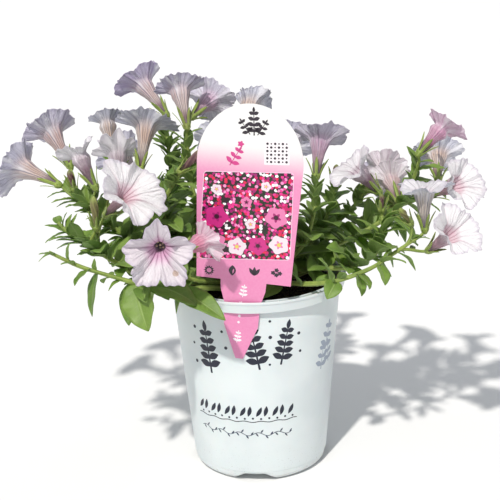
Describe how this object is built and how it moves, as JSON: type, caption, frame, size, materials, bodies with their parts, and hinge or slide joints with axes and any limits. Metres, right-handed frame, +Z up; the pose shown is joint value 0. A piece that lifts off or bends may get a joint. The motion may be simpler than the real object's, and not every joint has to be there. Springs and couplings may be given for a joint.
{
  "type": "potted petunia",
  "caption": "Petunia in full bloom in a tall tapered white nursery pot, with a pink arched plant label standing in the slot of the pot's rim.",
  "frame": {"origin": "centre of the pot's base, on the surface that it stands on", "axes": "+Z up the pot's axis, -Y towards the front, where the label stands, +X to the right seen from the front"},
  "size_m": [0.3881, 0.2829, 0.3291],
  "materials": {
    "pot_plastic": "white moulded plastic with a soft gloss",
    "potting_mix": "damp peat and bark, rough and matt",
    "label_card": "printed plastic card, pink fading to white at the top",
    "foliage": "soft, finely hairy green leaves and stems",
    "petal": "thin silvery white petals with pink and lilac veins",
    "bud": "furled purple-brown buds"
  },
  "bodies": {
    "root": {"pot": "pot_plastic", "soil": "potting_mix", "label": "label_card", "stem_01": "foliage", "stem_02": "foliage", "stem_03": "foliage", "stem_04": "foliage", "stem_05": "foliage", "stem_06": "foliage", "stem_07": "foliage", "stem_08": "foliage", "stem_09": "foliage", "stem_10": "foliage", "stem_11": "foliage", "stem_12": "foliage", "stem_13": "foliage", "stem_14": "foliage", "stem_15": "foliage", "stem_16": "foliage", "stem_17": "foliage", "stem_18": "foliage", "stem_19": "foliage", "bloom_01": "petal", "bloom_02": "petal", "bloom_03": "petal", "bloom_04": "petal", "bloom_05": "petal", "bloom_06": "petal", "bloom_07": "petal", "bloom_08": "petal", "bloom_09": "petal", "bloom_10": "petal", "bloom_11": "petal", "bloom_12": "petal", "bloom_13": "petal", "bloom_14": "petal", "bloom_15": "petal", "bloom_16": "petal", "bloom_17": "petal", "bloom_18": "petal", "bloom_19": "petal", "bloom_20": "petal", "bloom_21": "petal", "bloom_22": "petal", "bloom_23": "petal", "bloom_24": "petal", "bloom_25": "petal", "bloom_26": "petal", "bud_01": "bud", "bud_02": "bud", "bud_03": "bud", "bud_04": "bud", "bud_05": "bud", "bud_06": "bud", "bud_07": "bud"}
  },
  "joints": []
}
